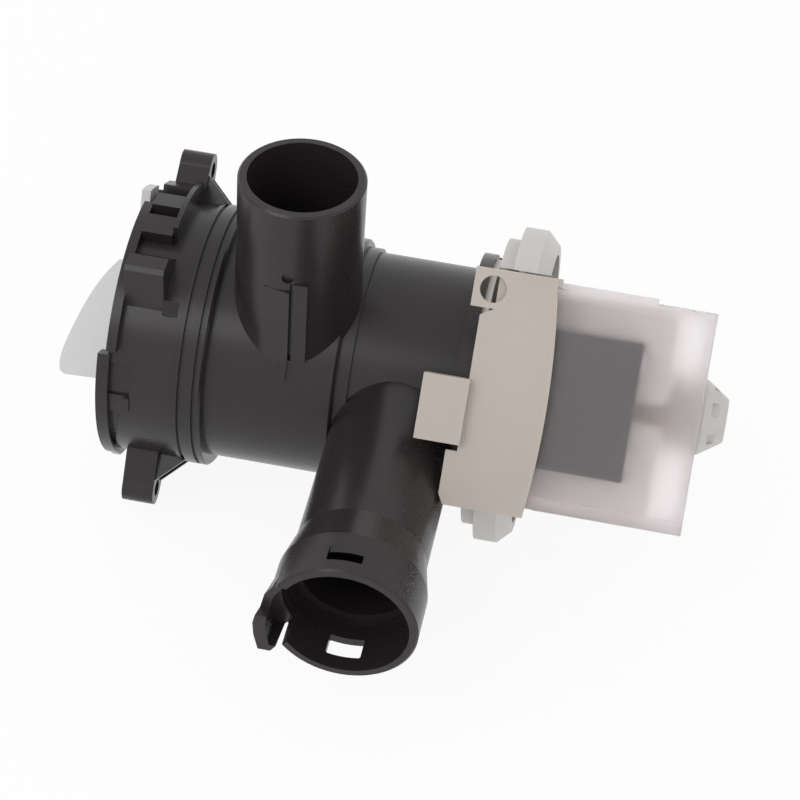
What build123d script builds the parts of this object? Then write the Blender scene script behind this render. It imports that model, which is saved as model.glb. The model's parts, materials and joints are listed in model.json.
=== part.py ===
from build123d import *
import os
from math import cos, radians, sin

os.makedirs("parts", exist_ok=True)

# Drain pump of a washing machine, with its filter chamber, volute and synchronous motor.
# The pump axis is X, from the filter mouth to the motor. The inlet points up, the outlet to -Y.
# The origin lies on the pump axis, in the front face of the collar. Lengths are in millimetres.
# Turns about the axis are in degrees from +Z towards -Y.

# Shared clearances and small sizes
overrun = 1.0
press_gap = 0.02
running_gap = 0.05
seat_gap = 0.1
sealing_gap = 0.25
free_gap = 0.4
small_round = 0.6
soft_round = 1.2

# Filter mouth: collar barrel, rim, lips and bayonet slots
barrel_radius = 40.7
barrel_length = 21.0
mouth_wall = 3.3
mouth_depth = 9.0
mouth_taper_length = 2.0
rim_height = 3.1
rim_length = 3.0
rim_start_turn = -10.0
rim_end_turn = 61.0
lip_height = 1.7
lip_reach = 2.7
lip_length = 3.7
lip_start_turn = 63.0
lip_end_turn = 135.5
ear_turn = 151.0
ear_half_angle = 14.0
notch_half_angle = 15.0
slot_start = 1.6
slot_length = 3.4
slot_depth = 1.5
cap_turn_range = 70.0
recess_depth = 0.9
recess_start_turn = 67.0
recess_end_turn = 82.0
recess_length = 6.4
wedge_start_turn = 91.0
wedge_end_turn = 122.0
wedge_length = 3.2
wedge_step_count = 9
latch_turn = 86.0
latch_half_angle = 3.5
latch_length = 1.6
latch_height = 0.7

# Grooved band behind the barrel
band_height = 0.6
band_length = 8.5
groove_width = 1.1
groove_depth = 1.0
groove_place_shares = (0.14, 0.68)

# Filter chamber and the wall between it and the volute
chamber_drop = 3.0
chamber_wall = 2.5
chamber_length = 39.5
divider_setback = 1.8
divider_thickness = 2.8
eye_radius = 12.0
eye_lip_thickness = 1.8
eye_lip_length = 2.4

# Volute
step_drop = 2.3
step_length = 4.0
volute_drop = 1.1
volute_wall = 3.1
volute_length = 36.0
end_ring_length = 4.0
end_ring_height = 5.2
clip_ear_height = 3.5
clip_ear_half_angle = 14.0
clip_ear_turns = (184.0, 232.0, 280.0)

# Inlet spigot
inlet_setback = 23.5
inlet_side = 11.5
inlet_radius = 19.0
inlet_wall = 2.7
inlet_top = 78.0
inlet_seat_length = 21.0
inlet_root_flare = 0.9
pad_foot = 18.0
left_pad_top = 50.0
left_pad_reach = 7.0
left_pad_end = 1.2
left_pad_edge_drop = 0.9
left_pad_proud = 1.0
right_pad_top = 53.0
right_pad_end = 6.5
right_pad_proud = 0.2
pad_groove_width = 0.9
pad_groove_depth = 1.0
pad_groove_foot = 23.0
gate_radius = 1.7
gate_depth = 1.1
strip_width = 2.1
strip_height = 0.9
strip_end_turn = 63.0

# Outlet pipe and hose socket
outlet_setback = 19.4
outlet_radius = 19.5
outlet_throat_radius = 15.0
outlet_bore_radius = 16.8
outlet_throat_end = 40.0
outlet_flare_start = 83.0
outlet_flare_end = 95.0
outlet_end = 109.8
socket_radius = 22.0
socket_bore_radius = 19.4
socket_depth = 19.4
window_width = 10.2
window_length = 7.0
window_setback = 4.9
upper_window_length = 5.4
upper_window_setback = 4.2
upper_window_shift = 1.1
pocket_reach = 25.8
pocket_wall = 3.6
pocket_length = 16.0
pocket_depth = 9.0
pocket_back_share = 0.86
pocket_edge_shares = (
    (-0.465, 0.39),
    (-0.73, 0.446),
    (-0.93, 0.116),
    (-1.0, -0.233),
    (-0.985, -0.426),
    (-0.934, -0.651),
    (-0.79, -0.651),
    (-0.68, -0.484),
    (-0.465, -0.39),
)
pocket_step_depth = 3.5
pocket_step_low = -2.6
pocket_step_high = 10.5
pocket_step_reach = 14.0
drop_x = 78.0
drop_turn = 72.0
drop_length = 9.0
drop_width = 4.0
drop_height = 1.0

# Screw lugs on the collar
lug_turn = 135.0
lug_x = 4.5
lug_length = 10.0
lug_tip_radius = 5.3
lug_root_half_width = 8.5
screw_standoff = 10.5
screw_hole_radius = 2.6
gusset_thickness = 1.8
gusset_spread = 8.4
gusset_length = 9.0
gusset_drop = 2.4

# Blocks on the top of the collar
tooth_turns = (-29.6, -11.5, 4.9)
tooth_heights = (4.9, 4.1, 4.0)
tooth_width = 8.0
tooth_x = 3.0
tooth_length = 9.7
web_height = 6.3
web_thickness = 1.5
web_start_turn = -34.0
web_end_turn = 8.0
block_length = 12.0
block_rise = 5.0
block_drop = 19.0
block_near = -20.3
block_far = -26.9
rib_turn = 40.0
rib_length = 5.5
rib_thickness = 4.5
rib_rise = 2.3

# Filter cap, with its ears and grip
cap_gap = 0.5
cap_disc_x = 2.0
cap_disc_thickness = 3.0
cap_skirt_gap = 1.0
cap_skirt_wall = 2.4
cap_skirt_end = 20.0
cap_hub_radius = 11.0
cap_socket_radius = 8.0
cap_socket_depth = 6.0
cap_key_gap = 0.3
cap_key_length = 2.2
ear_rise = 2.8
ear_tip_half_angle = 7.5
ear_front_x = -3.2
ear_depth = 1.9
ear_web_depth = 3.4
grip_turn = 135.0
grip_reach = 23.1
grip_half_width = 20.6
grip_thickness = 3.6
grip_start_share = (-0.424, -0.884)
grip_edge_shares = ((-0.66, -0.48), (-0.853, 0.063), (-0.97, 0.524), (-1.0, 0.738), (-0.978, 0.95))
grip_end_shares = ((-0.913, 1.0), (-0.463, 0.98))

# Seal on the cap skirt
cap_seal_x = 12.0
cap_seal_width = 3.0
cap_seal_depth = 2.0

# Strainer behind the cap
strainer_plate_step = 1.2
strainer_plate_thickness = 2.0
strainer_gap = 5.2
strainer_step = 1.5
strainer_bar_depth = 2.6
strainer_bar_width = 3.0
strainer_bar_count = 12
strainer_start_turn = 70.0
strainer_sweep = 220.0
strainer_ring_length = 3.0
strainer_plug_length = 4.0

# Motor flange, which closes the volute and carries the rotor can
spigot_reach = 1.5
spigot_gap = 0.2
plate_seat_radius = 16.2
plate_seat_depth = 2.8
flange_face_drop = 1.5
flange_face_length = 3.0
flange_step_radius = 45.2
flange_step_length = 4.5
flange_rim_height = 4.3
flange_rim_length = 7.0
flange_edge_length = 4.0
flange_edge_drop = 4.0
flange_cup_step = 0.5
flange_cup_wall = 3.0
seal_groove_setback = 0.6
seal_groove_width = 2.2
seal_groove_depth = 2.0
hook_half_angle = 7.0
hook_shift_turn = -11.0
hook_thickness = 2.4
hook_lip_length = 2.2
hook_lip_reach = 1.8

# Rotor can, which is one piece with the motor flange
can_radius = 11.8
can_wall = 1.2
can_neck_length = 7.8
can_neck_radius = 7.3
can_length = 68.0
stub_shoulder_step = 0.2
stub_length = 7.2
stub_end_radius = 6.8
stub_rib_count = 6
stub_rib_width = 2.2
stub_recess_depth = 1.6
stub_recess_length = 5.0

# Bearing plate, bearings and their rubber mounts
plate_radius = 16.0
plate_thickness = 2.7
boss_radius = 10.4
boss_length = 10.5
boss_bore_radius = 7.5
boss_wall = 2.4
can_seal_setback = 4.7
can_seal_width = 1.8
can_seal_depth = 1.5
bearing_radius = 5.0
front_bearing_length = 6.2
rear_bearing_length = 5.2
rear_mount_length = 7.0
mount_end_wall = 0.8

# Rotor
shaft_radius = 2.0
shaft_setback = 1.3
shaft_end_gap = 2.2
carrier_radius = 5.0
carrier_end_radius = 9.4
carrier_end_length = 2.4
carrier_gap = 1.6
carrier_end_gap = 1.8
magnet_radius = 9.8
magnet_front_overhang = 5.5
magnet_rear_overhang = 4.0
washer_radius = 4.4
washer_thickness = 0.8

# Impeller and its lost-motion driver
hub_radius = 8.5
hub_length = 20.5
hub_gap = 4.0
hub_front_wall = 5.0
hub_nose = 1.0
clutch_radius = 6.4
clutch_cap_thickness = 1.5
blade_count = 5
blade_radius = 24.0
blade_thickness = 2.2
blade_lead = 1.5
blade_length = 15.5
blade_slope = 5.0
back_disc_radius = 15.0
back_disc_thickness = 1.8
stop_inner_radius = 3.8
stop_angle = 85.0
stop_start_turn = 87.5
stop_length = 11.0
driver_sleeve_radius = 3.4
driver_radius = 6.0
driver_angle = 85.0
driver_setback = 7.0
driver_length = 9.0

# Motor: local frame turned about the pump axis. Across is the long side of the coils,
# out is the direction from the pump axis towards the coils.
motor_roll = 40.0

# Laminated stator core
core_setback = 19.5
core_length = 27.5
core_half_width = 20.75
core_leg_width = 8.25
core_yoke_start = 36.0
core_yoke_end = 47.0
core_pole_half_height = 16.6
core_pole_gap = 4.0
core_bore_radius = 12.2
rivet_radius = 1.6
rivet_head_radius = 2.8
rivet_head_height = 0.9
rivet_yoke_across = 14.5
rivet_yoke_out = 42.0
rivet_pole_across = 17.0
rivet_pole_out = -11.5

# Coils
bobbin_wall = 1.2
bobbin_start = 16.9
bobbin_end = 35.8
winding_depth = 7.6
winding_round = 3.0
flange_overhang = 0.4
fuse_radius = 2.9
fuse_length = 14.0
fuse_out = 28.0

# Translucent cover over the coils
cover_setback = 7.2
cover_length = 59.3
cover_side_gap = 1.2
cover_inner_out = 17.0
cover_face_out = 50.0
cover_wall = 1.5
cover_strip_setback = 15.4
cover_strip_width = 3.9
cover_strip_height = 0.7
cover_rail_setback = 13.3
cover_rail_length = 28.5
cover_rail_height = 1.6
cover_rail_depth = 5.0

# Stator frame: label plate, side walls, end wall, foot and terminal shroud
frame_plate_thickness = 2.0
frame_side_thickness = 2.6
frame_top_wall = 2.45
frame_side_length = 19.0
frame_end_wall_setback = 2.0
frame_foot_thickness = 2.0
frame_foot_out = -14.0
frame_low_left_reach = 5.3
frame_low_left_height = 16.15
frame_corner_reach = 3.7
frame_corner_drop = 3.05
frame_left_reach = 1.9
frame_left_drop = 13.9
frame_notch_setback = 1.9
frame_notch_drop = 11.7
frame_tab_reach = 5.1
frame_right_top_setback = 18.9
frame_right_mid_setback = 21.9
frame_right_low_setback = 20.0
tab_hole_setback = 0.8
tab_hole_drop = 6.0
tab_hole_radius = 4.0
ring_cut_gap = 0.35
ring_cut_out = 12.6
shroud_reach = 15.0
shroud_rise = 18.15
shroud_width = 19.5
shroud_in = 48.2
shroud_out = 55.4
shroud_wall = 1.2
shroud_depth = 11.4
blade_terminal_width = 6.3
blade_terminal_thickness = 0.8
blade_terminal_setback = 2.2
blade_terminal_root = 1.6
blade_terminal_spacing = 8.5

# Places worked out from the sizes above
band_start = barrel_length
chamber_start = band_start + band_length
volute_start = chamber_start + chamber_length
mouth_bore_radius = barrel_radius - mouth_wall
rim_radius = barrel_radius + rim_height
lip_radius = barrel_radius + lip_height
slot_radius = mouth_bore_radius + slot_depth
band_radius = barrel_radius + band_height
chamber_radius = barrel_radius - chamber_drop
chamber_bore_radius = chamber_radius - chamber_wall
divider_x = volute_start - divider_setback
step_radius = chamber_radius - step_drop
volute_radius = step_radius - volute_drop
volute_bore_radius = volute_radius - volute_wall
end_ring_x = volute_start + volute_length
end_ring_radius = volute_radius + end_ring_height
clip_ear_radius = end_ring_radius + clip_ear_height
inlet_bore_radius = inlet_radius - inlet_wall
outlet_x = volute_start + outlet_setback
inlet_x = chamber_start + inlet_setback
inlet_throat_radius = divider_x - inlet_x - seat_gap
inlet_front = -inlet_side - inlet_radius
inlet_seat_z = inlet_top - inlet_seat_length
screw_circle_radius = barrel_radius + screw_standoff
gusset_top_radius = screw_circle_radius - gusset_drop
web_radius = barrel_radius + web_height
block_top = barrel_radius + block_rise
block_foot = block_top - block_drop
rib_top_radius = barrel_radius + rib_rise
cap_disc_radius = mouth_bore_radius - cap_gap
cap_skirt_radius = chamber_bore_radius - cap_skirt_gap
cap_key_radius = slot_radius - cap_key_gap
ear_radius = barrel_radius + ear_rise
cap_seal_floor_radius = cap_skirt_radius - cap_seal_depth
strainer_plate_radius = cap_skirt_radius - strainer_plate_step
strainer_radius = strainer_plate_radius - strainer_step
strainer_end = divider_x - strainer_gap
spigot_x = end_ring_x - spigot_reach
spigot_radius = volute_bore_radius - spigot_gap
flange_face_radius = end_ring_radius - flange_face_drop
end_ring_end = end_ring_x + end_ring_length
flange_step_x = end_ring_end + flange_face_length
flange_rim_x = flange_step_x + flange_step_length
flange_rim_end = flange_rim_x + flange_rim_length
flange_edge_x = flange_rim_end + flange_edge_length
flange_cup_x = flange_rim_x + flange_cup_step
seal_groove_x = end_ring_x + seal_groove_setback
flange_rim_radius = flange_step_radius + flange_rim_height
flange_edge_radius = flange_rim_radius - flange_edge_drop
flange_cup_radius = flange_edge_radius - flange_cup_wall
can_bore_radius = can_radius - can_wall
can_floor_x = flange_step_x + can_length
can_neck_x = can_floor_x - can_neck_length
stub_shoulder_x = can_floor_x + stub_shoulder_step
stub_end_x = stub_shoulder_x + stub_length
boss_end = spigot_x + boss_length
can_seal_x = spigot_x + can_seal_setback
can_seal_floor_radius = boss_radius - can_seal_depth
hub_end = spigot_x - hub_gap
hub_start = hub_end - hub_length
blade_start = hub_start - blade_lead
blade_end = blade_start + blade_length
driver_x = hub_start + driver_setback
shaft_start = hub_start + shaft_setback
shaft_end = can_floor_x - shaft_end_gap
carrier_start = boss_end + carrier_gap
carrier_end = can_neck_x - carrier_end_gap
core_start = flange_step_x + core_setback
magnet_start = core_start - magnet_front_overhang
magnet_end = core_start + core_length + magnet_rear_overhang
cover_start = flange_step_x + cover_setback
cover_end = cover_start + cover_length
cover_strip_x = cover_start + cover_strip_setback
cover_rail_x = cover_start + cover_rail_setback
frame_side_end = flange_step_x + frame_side_length
frame_end_wall_x = flange_step_x + frame_end_wall_setback
frame_low_left_x = flange_step_x - frame_low_left_reach
frame_corner_x = flange_step_x - frame_corner_reach
frame_left_x = flange_step_x - frame_left_reach
frame_notch_x = flange_step_x + frame_notch_setback
frame_tab_x = flange_step_x - frame_tab_reach
frame_right_top_x = flange_step_x + frame_right_top_setback
frame_right_mid_x = flange_step_x + frame_right_mid_setback
frame_right_low_x = flange_step_x + frame_right_low_setback
tab_hole_x = flange_step_x + tab_hole_setback
shroud_start = flange_step_x - shroud_reach
shroud_end = frame_left_x + small_round
volute_bore_start = divider_x + divider_thickness
cap_back_x = cap_disc_x + cap_disc_thickness
cap_key_x = cap_back_x - cap_key_length - free_gap
coil_half_width = core_half_width + seat_gap + bobbin_wall + winding_depth + flange_overhang
cover_half_width = coil_half_width + cover_side_gap + cover_wall
frame_plate_out = cover_face_out + seat_gap
frame_side_inner = cover_half_width + seat_gap
frame_side_outer = frame_side_inner + frame_side_thickness
frame_top = frame_side_inner + frame_top_wall
frame_corner_across = frame_corner_drop - frame_side_outer
frame_low_left_top = frame_low_left_height - frame_side_outer
frame_left_top = frame_top - frame_left_drop
frame_notch_top = frame_top - frame_notch_drop
tab_hole_across = frame_top - tab_hole_drop
ring_cut_half_width = frame_side_outer + ring_cut_gap
shroud_low = shroud_rise - frame_side_outer
shroud_high = shroud_low + shroud_width


def axial_plane(turn, shift=0):
    """Plane along the axis: local x is X, local y is the radius at this turn."""
    normal = (0, -cos(radians(turn)), -sin(radians(turn)))
    return Plane((0, 0, 0), x_dir=(1, 0, 0), z_dir=normal).offset(shift)


def cross_plane(x, turn=0):
    """Plane across the axis at X = x: local x points outward at this turn."""
    outward = (0, -sin(radians(turn)), cos(radians(turn)))
    return Plane((x, 0, 0), x_dir=outward, z_dir=(1, 0, 0))


def outward_plane(turn):
    """Plane that faces outward at this turn, through the axis: local x is X."""
    return Plane((0, 0, 0), x_dir=(1, 0, 0), z_dir=cross_plane(0, turn).x_dir)


def motor_plane(out):
    """Plane that faces the coils: local x is X, local y runs across the motor."""
    return axial_plane(-motor_roll, out)


def ring_sector(x, inner, outer, start_turn, end_turn):
    """Ring sector across the axis at X = x, between two turns."""
    with BuildSketch(cross_plane(x, start_turn)) as area:
        with BuildLine():
            outside = CenterArc((0, 0), outer, 0, end_turn - start_turn)
            inside = CenterArc((0, 0), inner, 0, end_turn - start_turn)
            Line(outside @ 0, inside @ 0)
            Line(outside @ 1, inside @ 1)
        make_face()
    return area.sketch


def box_across(x, near, far, low, high, turn=0):
    """Rectangle across the axis at X = x, from near to far outward and low to high along the turn."""
    with BuildSketch(cross_plane(x, turn)) as area:
        with Locations(((near + far) / 2, (low + high) / 2)):
            Rectangle(far - near, high - low)
    return area.sketch


def plain_ring(x_start, length, outer, inner):
    """Round piece about the pump axis with a bore."""
    with BuildPart() as piece:
        with BuildSketch(cross_plane(x_start)):
            Circle(outer)
            Circle(inner, mode=Mode.SUBTRACT)
        extrude(amount=length)
    return piece


# Housing: collar, filter chamber, volute, inlet and outlet in one moulding
with BuildPart() as housing:
    with BuildSketch(Plane.XZ):
        with BuildLine():
            Polyline(
                (0, 0),
                (0, barrel_radius - small_round),
                (small_round, barrel_radius),
                (band_start, barrel_radius),
                (band_start, band_radius),
                (chamber_start - small_round, band_radius),
                (chamber_start, band_radius - small_round),
                (chamber_start, chamber_radius),
                (volute_start - small_round, chamber_radius),
                (volute_start, chamber_radius - small_round),
                (volute_start, step_radius),
                (volute_start + step_length, step_radius),
                (volute_start + step_length, volute_radius),
                (end_ring_x, volute_radius),
                (end_ring_x, end_ring_radius),
                (end_ring_end, end_ring_radius),
                (end_ring_end, 0),
                close=True,
            )
        make_face()
    revolve(axis=Axis.X)

    # Grooves in the band
    for share in groove_place_shares:
        with BuildSketch(cross_plane(band_start + band_length * share)):
            Circle(band_radius + overrun)
            Circle(band_radius - groove_depth, mode=Mode.SUBTRACT)
        extrude(amount=groove_width, mode=Mode.SUBTRACT)

    # Rim and lips at the mouth, each repeated on the far side
    for half_turn in (0, 180):
        rim = ring_sector(
            0, mouth_bore_radius, rim_radius, rim_start_turn + half_turn, rim_end_turn + half_turn
        )
        extrude(rim, amount=rim_length)
        lip = ring_sector(
            -lip_reach, mouth_bore_radius, lip_radius, lip_start_turn + half_turn, lip_end_turn + half_turn
        )
        extrude(lip, amount=lip_length)

    # Ears of the end ring, which the motor hooks hold
    for turn in clip_ear_turns:
        start = turn - clip_ear_half_angle
        end = turn + clip_ear_half_angle
        ear = ring_sector(end_ring_x, volute_radius, clip_ear_radius, start, end)
        extrude(ear, amount=end_ring_length)

    # Inlet spigot: straight hose seat on a root that widens towards the chamber
    with BuildSketch(Plane.XZ.offset(inlet_side)):
        with BuildLine():
            Polyline(
                (inlet_x, 0),
                (inlet_x + inlet_radius + inlet_root_flare, 0),
                (inlet_x + inlet_radius, inlet_seat_z),
                (inlet_x + inlet_radius, inlet_top - small_round),
                (inlet_x + inlet_radius - small_round, inlet_top),
                (inlet_x, inlet_top),
                close=True,
            )
        make_face()
    revolve(axis=Axis((inlet_x, -inlet_side, 0), (0, 0, 1)))

    # Two flat pads on the front of the root, and the strip that runs on over the chamber
    with BuildSketch(Plane.XY.offset(pad_foot)):
        with BuildLine():
            Polyline(
                (inlet_x - left_pad_reach, inlet_front + left_pad_edge_drop),
                (inlet_x + left_pad_end, inlet_front - left_pad_proud),
                (inlet_x + left_pad_end, -inlet_side),
                (inlet_x - left_pad_reach, -inlet_side),
                close=True,
            )
        make_face()
    extrude(amount=left_pad_top - pad_foot)
    with BuildSketch(Plane.XY.offset(pad_foot)):
        with BuildLine():
            Polyline(
                (inlet_x + left_pad_end, inlet_front - right_pad_proud),
                (inlet_x + right_pad_end, inlet_front - right_pad_proud),
                (inlet_x + right_pad_end, -inlet_side),
                (inlet_x + left_pad_end, -inlet_side),
                close=True,
            )
        make_face()
    extrude(amount=right_pad_top - pad_foot)
    strip = ring_sector(
        inlet_x + left_pad_end - strip_width,
        chamber_bore_radius + overrun,
        chamber_radius + strip_height,
        0,
        strip_end_turn,
    )
    extrude(strip, amount=strip_width)
    with BuildSketch(Plane.XZ.offset(-inlet_front - pad_groove_depth)):
        with Locations((inlet_x + left_pad_end + pad_groove_width / 2,
                        (right_pad_top + pad_groove_foot) / 2)):
            Rectangle(pad_groove_width, right_pad_top - pad_groove_foot)
    extrude(amount=pad_groove_depth + left_pad_proud + overrun, mode=Mode.SUBTRACT)
    with BuildSketch(Plane.XZ.offset(-inlet_front - gate_depth)):
        with Locations((inlet_x + left_pad_end - pad_groove_width, right_pad_top + gate_radius)):
            Circle(gate_radius)
    extrude(amount=gate_depth + overrun, mode=Mode.SUBTRACT)

    # Outlet pipe with its flare and hose socket
    with BuildSketch(Plane.XY):
        with BuildLine():
            Polyline(
                (outlet_x, 0),
                (outlet_x + outlet_radius, 0),
                (outlet_x + outlet_radius, -outlet_flare_start),
                (outlet_x + socket_radius, -outlet_flare_end),
                (outlet_x + socket_radius, small_round - outlet_end),
                (outlet_x + socket_radius - small_round, -outlet_end),
                (outlet_x, -outlet_end),
                close=True,
            )
        make_face()
    revolve(axis=Axis((outlet_x, 0, 0), (0, 1, 0)))
    for setback, reach in ((pocket_length, pocket_reach * pocket_back_share), (0, pocket_reach)):
        with BuildSketch(Plane.XZ.offset(outlet_end - setback)):
            with BuildLine():
                Polyline([(outlet_x + x * reach, z * reach) for x, z in pocket_edge_shares], close=True)
            make_face()
    loft(ruled=True)

    # Drop-shaped mark on the volute
    with BuildSketch(outward_plane(drop_turn)):
        with Locations((drop_x, 0)):
            SlotOverall(drop_length, drop_width, rotation=90)
    extrude(amount=volute_radius + drop_height)

    # Screw lugs with their gussets
    for half_turn in (0, 180):
        turn = lug_turn + half_turn
        with BuildSketch(cross_plane(lug_x, turn)):
            with BuildLine():
                Polyline(
                    (mouth_bore_radius, -lug_root_half_width),
                    (screw_circle_radius, -lug_tip_radius),
                    (screw_circle_radius, lug_tip_radius),
                    (mouth_bore_radius, lug_root_half_width),
                    close=True,
                )
            make_face()
            with Locations((screw_circle_radius, 0)):
                Circle(lug_tip_radius)
        extrude(amount=lug_length)
        for side in (-1, 1):
            with BuildSketch(axial_plane(turn, side * gusset_spread / 2)):
                with BuildLine():
                    Polyline(
                        (lug_x + lug_length, gusset_top_radius),
                        (lug_x + lug_length + gusset_length, barrel_radius - small_round),
                        (lug_x + lug_length + gusset_length, mouth_bore_radius),
                        (lug_x + lug_length, mouth_bore_radius),
                        close=True,
                    )
                make_face()
            extrude(amount=gusset_thickness / 2, both=True)
        with BuildSketch(cross_plane(lug_x - overrun, turn)):
            with Locations((screw_circle_radius, 0)):
                Circle(screw_hole_radius)
        extrude(amount=lug_length + overrun * 2, mode=Mode.SUBTRACT)

    # Teeth, web and block on the top of the collar
    for turn, height in zip(tooth_turns, tooth_heights):
        tooth = box_across(
            tooth_x, mouth_bore_radius, barrel_radius + height, -tooth_width / 2, tooth_width / 2, turn
        )
        extrude(tooth, amount=tooth_length)
    web = ring_sector(tooth_x + tooth_length, mouth_bore_radius, web_radius, web_start_turn, web_end_turn)
    extrude(web, amount=web_thickness)
    with BuildSketch(Plane.YZ.offset(rim_length)):
        with BuildLine():
            Polyline(
                (block_near, block_top),
                (block_far + soft_round, block_top),
                (block_far, block_top - soft_round),
                (block_far, block_foot),
                (block_far / 2, block_foot),
                (block_near / 2, mouth_bore_radius),
                close=True,
            )
        make_face()
    extrude(amount=block_length)
    with BuildSketch(axial_plane(rib_turn)):
        with BuildLine():
            Polyline(
                (rim_length + block_length, rib_top_radius),
                (rim_length + block_length + rib_length, barrel_radius - small_round),
                (rim_length + block_length + rib_length, mouth_bore_radius),
                (rim_length + block_length, mouth_bore_radius),
                close=True,
            )
        make_face()
    extrude(amount=rib_thickness / 2, both=True)

    # Recesses and latch behind the lips
    for half_turn in (0, 180):
        recess = ring_sector(
            lip_length - lip_reach,
            barrel_radius - recess_depth,
            barrel_radius + overrun,
            recess_start_turn + half_turn,
            recess_end_turn + half_turn,
        )
        extrude(recess, amount=recess_length, mode=Mode.SUBTRACT)
        wedge_turn = (wedge_end_turn - wedge_start_turn) / wedge_step_count
        for step in range(wedge_step_count):
            wedge = ring_sector(
                lip_length - lip_reach,
                barrel_radius - recess_depth,
                barrel_radius + overrun,
                wedge_start_turn + half_turn + wedge_turn * step,
                wedge_start_turn + half_turn + wedge_turn * (step + 1),
            )
            extrude(wedge, amount=wedge_length * (1 - step / wedge_step_count), mode=Mode.SUBTRACT)
        latch = ring_sector(
            lip_length - lip_reach + recess_length - latch_length,
            mouth_bore_radius + overrun,
            barrel_radius + latch_height,
            latch_turn - latch_half_angle + half_turn,
            latch_turn + latch_half_angle + half_turn,
        )
        extrude(latch, amount=latch_length)

    # Water passages along the axis
    with BuildSketch(Plane.XZ):
        with BuildLine():
            Polyline(
                (-lip_reach - overrun, 0),
                (-lip_reach - overrun, mouth_bore_radius),
                (mouth_depth, mouth_bore_radius),
                (mouth_depth + mouth_taper_length, chamber_bore_radius),
                (divider_x, chamber_bore_radius),
                (divider_x, eye_radius + eye_lip_thickness),
                (divider_x - eye_lip_length, eye_radius + eye_lip_thickness),
                (divider_x - eye_lip_length, eye_radius),
                (volute_bore_start, eye_radius),
                (volute_bore_start, volute_bore_radius),
                (end_ring_end + overrun, volute_bore_radius),
                (end_ring_end + overrun, 0),
                close=True,
            )
        make_face()
    revolve(axis=Axis.X, mode=Mode.SUBTRACT)

    # Inlet bore, narrower where it meets the chamber, and outlet bore
    with BuildSketch(Plane.XY.offset(chamber_radius)):
        with Locations((inlet_x, -inlet_side)):
            Circle(inlet_bore_radius)
    extrude(amount=inlet_top, mode=Mode.SUBTRACT)
    with BuildSketch(Plane.XY.offset(chamber_bore_radius / 2)):
        with Locations((inlet_x, -inlet_side)):
            Circle(inlet_throat_radius)
    extrude(amount=chamber_bore_radius, mode=Mode.SUBTRACT)
    with BuildSketch(Plane.XY):
        with BuildLine():
            Polyline(
                (outlet_x, -volute_bore_radius / 2),
                (outlet_x + outlet_throat_radius, -volute_bore_radius / 2),
                (outlet_x + outlet_throat_radius, -outlet_throat_end),
                (outlet_x + outlet_bore_radius, -outlet_throat_end),
                (outlet_x + outlet_bore_radius, socket_depth - outlet_end),
                (outlet_x + socket_bore_radius, socket_depth - outlet_end),
                (outlet_x + socket_bore_radius, -outlet_end - overrun),
                (outlet_x, -outlet_end - overrun),
                close=True,
            )
        make_face()
    revolve(axis=Axis((outlet_x, 0, 0), (0, 1, 0)), mode=Mode.SUBTRACT)

    # Lower and upper window in the socket wall, and the bayonet pocket at its side
    for start, middle_x, setback, length in (
        (-socket_radius - overrun, outlet_x, window_setback, window_length),
        (0, outlet_x - upper_window_shift, upper_window_setback, upper_window_length),
    ):
        with BuildSketch(Plane.XY.offset(start)):
            with Locations((middle_x, setback + length / 2 - outlet_end)):
                RectangleRounded(window_width, length, small_round)
        extrude(amount=socket_radius + overrun, mode=Mode.SUBTRACT)
    hollow_reach = pocket_reach - pocket_wall
    with BuildSketch(Plane.XZ.offset(outlet_end - pocket_depth)):
        with BuildLine():
            hollow_edge = [(outlet_x + x * hollow_reach, z * hollow_reach) for x, z in pocket_edge_shares]
            Polyline(hollow_edge, close=True)
        make_face()
    extrude(amount=pocket_depth + overrun, mode=Mode.SUBTRACT)
    with BuildSketch(Plane.XZ.offset(outlet_end - pocket_step_depth)):
        with Locations((outlet_x - (pocket_reach + overrun + pocket_step_reach) / 2,
                        (pocket_step_low + pocket_step_high) / 2)):
            Rectangle(pocket_reach + overrun - pocket_step_reach, pocket_step_high - pocket_step_low)
    extrude(amount=pocket_step_depth + overrun, mode=Mode.SUBTRACT)

    # Bayonet slots for the cap ears, with their entry notches
    for half_turn in (0, 180):
        turn = ear_turn + half_turn
        notch = ring_sector(
            -lip_reach - overrun,
            mouth_bore_radius - overrun,
            slot_radius,
            turn - notch_half_angle,
            turn + notch_half_angle,
        )
        extrude(notch, amount=lip_reach + overrun + slot_start + slot_length, mode=Mode.SUBTRACT)
        slot = ring_sector(
            slot_start,
            mouth_bore_radius - overrun,
            slot_radius,
            turn - notch_half_angle,
            turn + notch_half_angle + cap_turn_range,
        )
        extrude(slot, amount=slot_length, mode=Mode.SUBTRACT)

housing.part.label = "pump_housing"
export_step(housing.part, "parts/pump_housing.step")

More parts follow.
